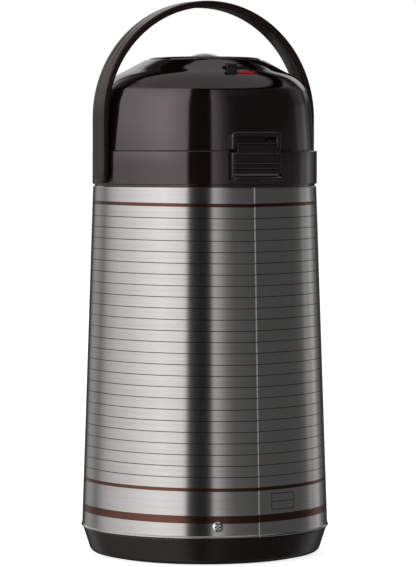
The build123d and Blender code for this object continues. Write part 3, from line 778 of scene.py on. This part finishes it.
# ------------------------------------------------------------------ pump button, bellows and spring
def build_button():
    """Round cap with a seat for its metal insert, and the domed insert."""
    cap = rounded([(0, 325.6), (35.4, 325.6), (35.4, 305), (37.3, 305), (37.3, 328.6), (35.2, 329.6),
                   (31, 329.8), (14.4, 329.7), (13.7, 329.2), (13.7, 328.0), (0, 328.0)],
                  [0, 1, 0.4, 0.4, 1.6, 2.0, 2, 0.6, 0.4, 0.3, 0], 6)
    bm = bmesh.new()
    lathe(bm, cap)
    finish_mesh("button_cap", bm, M_HEAD, "pump", ["pump_button"], 40)
    insert_r, insert_top, dome_r = 13.5, 332.6, 24.0
    dome = []
    for k in range(17):
        r = insert_r * (1 - k / 16)
        dome.append((r, insert_top - dome_r + math.sqrt(dome_r ** 2 - r * r)))
    bm = bmesh.new()
    lathe(bm, [(0, 328.05), (13.2, 328.05), (insert_r, 328.3)] + dome, 128)
    finish_mesh("button_dome", bm, M_INSERT, "pump", ["button_insert"], 40)


def build_bellows():
    """Folded rubber sleeve, in one fixed shape; the real one shortens as the button goes down."""
    low, high, folds, lead = 272.6, 322.5, 6, 2
    outer, inner, wall = 32.5, 27.5, 1.5
    pitch = (high - low - 2 * lead) / folds
    line = [(outer, low), (outer, low + lead)]
    for k in range(folds):
        line.append((inner, low + lead + pitch * (k + 0.5)))
        line.append((outer, low + lead + pitch * (k + 1)))
    line.append((outer, high))
    bm = bmesh.new()
    lathe(bm, rounded(line + [(r - wall, z) for r, z in reversed(line)], 1.0, 4), 96)
    sleeve = finish_mesh("bellows_skin", bm, M_BELLOWS, "lid", ["bellows"], 50)
    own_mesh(sleeve)


def build_spring():
    """Round-wire coil inside the bellows."""
    turns, wire_r, coil_r, low, high = 6.6, 1.0, 12.0, 273.7, 321.4
    count = int(turns * 40)
    frames = []
    for i in range(count + 1):
        t = i / count
        a = TAU * turns * t
        outward = Vector((math.cos(a), math.sin(a), 0))
        frames.append((outward * coil_r + Z_DIR * (low + (high - low) * t), outward, Z_DIR, (1, 1)))
    bm = bmesh.new()
    sweep_section(bm, frames, circle(wire_r, 12))
    coil = finish_mesh("spring_coil", bm, M_CHROME, "lid", ["return_spring"], 50)
    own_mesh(coil)


# ------------------------------------------------------------------ lock
def build_lock():
    """Finger tab, its stem and its curved plate, and the red field beside the tab."""
    tab = rounded([(51.6, 320.6), (57.2, 318.0), (57.2, 323.8), (56.4, 325.0), (52.4, 325.3), (51.6, 324.6)],
                  [0.3, 0.4, 1.0, 1.2, 1.2, 0.8], 4)
    bm = bmesh.new()
    lathe(bm, tab, 12, TAB_AT - 2.9, 6.9)
    finish_mesh("lock_tab", bm, M_LATCH, "lock", ["lock_slider"], 40, bevel=0.5)
    # the field lies on both sides of the slit and down its inner edge
    field_at, field_turn = 87, LOCK_HALF + 2.6
    outer_strip = [(56.3, 317.15), (58.9, 316.1), (58.9, 316.5), (56.3, 317.6)]
    inner_strip = [(51.9, 319.1), (53.4, 318.45), (53.4, 316.6), (53.7, 316.6), (53.7, 318.8), (51.9, 319.6)]
    bm = bmesh.new()
    lathe(bm, outer_strip, 16, field_at, field_turn)
    lathe(bm, inner_strip, 16, field_at, field_turn)
    finish_mesh("lock_marker_field", bm, M_MARK, "lid", ["lock_marker"], 40)
    bm = bmesh.new()
    lathe(bm, [(53.8, 313), (55.8, 313), (55.8, 321), (53.8, 321)], 6, TAB_AT - 2, 4)
    finish_mesh("lock_stem", bm, M_LATCH, "lock", [], 40)
    plate = [(48.6, 316.6), (50.9, 315.1), (57.2, 312.6), (59.4, 311.0), (59.4, 312.8), (57.3, 314.2),
             (50.9, 316.8), (48.6, 318.1)]
    bm = bmesh.new()
    lathe(bm, plate, 14, TAB_AT - 8, 16)
    finish_mesh("lock_plate", bm, M_LATCH, "lock", [], 40, bevel=0.2)


# ------------------------------------------------------------------ spout
def build_spout():
    """Tube that leaves the collar level and bends down to its mouth."""
    bend_r, bend_y, mouth_y = 14, -98, -112
    bend_z = SPOUT_Z - bend_r
    frames = [(Vector((0, y, SPOUT_Z)), X_DIR, Z_DIR, (1, 1)) for y in (-66, -70, -75, -80, -86, -92)]
    for i in range(25):
        a = math.pi / 2 * i / 24
        normal = Vector((0, -math.sin(a), math.cos(a)))
        frames.append((Vector((0, bend_y, bend_z)) + normal * bend_r, X_DIR, normal, (1, 1)))
    for z, scale in ((242, 1), (239.4, 1), (239.0, 0.95)):
        frames.append((Vector((0, mouth_y, z)), X_DIR, -Y_DIR, (scale, scale)))
    seg = 48
    bm = bmesh.new()
    outer = sweep_section(bm, frames, circle(SPOUT_R, seg), close_ends=False)
    straight = [(origin, u, v, (1, 1)) for origin, u, v, scale in frames]
    bore = sweep_section(bm, straight, circle(SPOUT_BORE_R, seg), close_ends=False)
    for end in (0, -1):
        skin_rings(bm, (outer[end], bore[end]), close_ends=False)
    finish_mesh("spout_tube", bm, M_HEAD, "jug", ["spout_arm"], 40)


build_jacket()
build_collar()
build_hinge_ears()
build_latch_ledge()
build_base()
build_lid()
build_lid_posts()
build_lid_knuckle()
build_latch_frame()
build_latch_lever()
build_handle()
build_button()
build_lock()
build_bellows()
build_spring()
build_spout()


# ------------------------------------------------------------------ floor, light, camera
CAMERA_TURN = math.radians(25.5)  # from +Y towards +X
VIEW = Vector((math.sin(CAMERA_TURN), math.cos(CAMERA_TURN), 0))  # from the object to the camera
RIGHT = Vector((-math.cos(CAMERA_TURN), math.sin(CAMERA_TURN), 0))
# brightness round the object, by turn in degrees from the camera's side, left negative
STUDIO = [
    (-180, 0.05), (-158, 0.04), (-150, 0.30), (-140, 0.38), (-124, 0.22), (-110, 0.52), (-95, 0.68),
    (-78, 0.80), (-62, 0.95), (-40, 1.08), (-20, 1.02), (-18.5, 0.9), (-16, 0.05), (-5, 0.018), (3, 0.02),
    (6.5, 0.05), (8.5, 0.66), (13, 0.50), (20, 0.26), (28, 0.155), (45, 0.12), (75, 0.10),
    (101, 0.10), (113, 0.15), (119, 0.36), (127, 0.36), (130, 0.52), (137, 0.52), (140, 0.25),
    (154, 0.05), (180, 0.05),
]


def stage_floor():
    """White paper under and behind the object, which reflections don't see."""
    bm = bmesh.new()
    block(bm, (-3000, -5000, -20), (3000, 3000, 0))
    mesh = bpy.data.meshes.new("floor")
    bm.to_mesh(mesh)
    bm.free()
    mesh.transform(Matrix.Scale(MM, 4))
    obj = bpy.data.objects.new("floor", mesh)
    bpy.context.scene.collection.objects.link(obj)
    m = Surface("floor_paper")
    m.set(Base_Color=(0.9, 0.9, 0.9), Roughness=0.9, Emission_Color=(1.0, 1.0, 1.0), Emission_Strength=0.85)
    mesh.materials.append(m.mat)
    obj.visible_glossy = False


def studio_ring(g, turn):
    """Brightness from STUDIO at a turn in radians."""
    ramp = g.new("ShaderNodeValToRGB")
    elements = ramp.color_ramp.elements
    while len(elements) < len(STUDIO):
        elements.new(0.5)
    for element, (degrees, value) in zip(elements, STUDIO):
        element.position = (degrees + 180) / 360
        element.color = (value, value, value * 1.01, 1)
    g.link(g.math("ADD", g.math("DIVIDE", turn, TAU), 0.5), ramp.inputs[0])
    return ramp.outputs[0]


def studio_world():
    """Studio that the object reflects; the camera itself sees plain white."""
    world = bpy.data.worlds.new("studio")
    bpy.context.scene.world = world
    world.use_nodes = True
    g = Graph(world.node_tree)
    split = g.new("ShaderNodeSeparateXYZ")
    g.link(g.new("ShaderNodeTexCoord").outputs["Generated"], split.inputs[0])
    x, y, z = split.outputs
    along = g.math("ADD", g.math("MULTIPLY", x, VIEW.x), g.math("MULTIPLY", y, VIEW.y))
    across = g.math("ADD", g.math("MULTIPLY", x, RIGHT.x), g.math("MULTIPLY", y, RIGHT.y))
    turn = g.math("ARCTAN2", across, along)
    to_left = g.math("MULTIPLY", turn, -1.0)
    down = g.math("MULTIPLY", z, -1.0)
    behind = g.math("MULTIPLY", along, -1.0)

    ring = g.math("MULTIPLY", studio_ring(g, turn), g.rest_of(g.smooth(z, 0.66, 0.78)))
    # a dark gap below the ceiling light, wherever the left panel doesn't reach up to it
    gap = g.math("MULTIPLY", g.smooth(z, 0.57, 0.62), g.smooth(turn, -0.35, -0.05))
    ring = g.math("MULTIPLY", ring, g.rest_of(gap))
    # the table side is dim
    dim = g.math("MULTIPLY", g.smooth(down, 0.22, 0.5), 0.4)
    ring = g.math("MULTIPLY", ring, g.rest_of(dim))
    # above the horizon the left panel gains and the right one loses
    gain = g.math("MULTIPLY", g.smooth(to_left, 0.2, 0.9), 0.55)
    loss = g.math("MULTIPLY", g.smooth(turn, 0.25, 0.6), 0.6)
    raised = g.math("MULTIPLY", g.smooth(z, 0.0, 0.16), g.rest_of(g.smooth(z, 0.45, 0.66)))
    change = g.math("MULTIPLY", g.math("SUBTRACT", gain, loss), raised)
    ring = g.math("MULTIPLY", ring, g.math("ADD", 1.0, change))

    ceiling = g.math("MULTIPLY", g.smooth(z, 0.69, 0.77), 0.42)
    # a low white card stands behind the object
    card = g.math("MULTIPLY", g.smooth(behind, 0.80, 0.88), g.smooth(z, 0.06, 0.26))
    card = g.math("MULTIPLY", card, g.rest_of(g.smooth(z, 0.52, 0.60)))
    card = g.math("MULTIPLY", card, 0.85)
    light = g.math("ADD", g.math("ADD", ring, ceiling), card)

    strength = g.new("ShaderNodeMix", data_type="FLOAT")
    g.put(strength.inputs[0], g.new("ShaderNodeLightPath").outputs["Is Camera Ray"])
    g.put(strength.inputs[2], light)
    g.put(strength.inputs[3], 1.0)
    background = g.tree.nodes["Background"]
    g.put(background.inputs[0], (1, 1, 1))
    g.put(background.inputs[1], strength.outputs[0])


def place_camera():
    """Long lens, a little above the middle and looking slightly down; lengths are in metres."""
    cam = bpy.data.cameras.new("camera")
    cam.sensor_fit = "VERTICAL"
    cam.sensor_height = 36.0
    cam.lens = 200.0
    cam.clip_end = 50
    camera = bpy.data.objects.new("camera", cam)
    bpy.context.scene.collection.objects.link(camera)
    camera.location = VIEW * 2.1 + RIGHT * 0.0022 + Vector((0, 0, 0.2717))
    pitch = math.radians(2.5176)
    look = (-VIEW) * math.cos(pitch) + Vector((0, 0, -math.sin(pitch)))
    camera.rotation_euler = look.to_track_quat("-Z", "Y").to_euler()
    bpy.context.scene.camera = camera


stage_floor()
studio_world()
place_camera()
bpy.context.scene.view_settings.view_transform = "Standard"
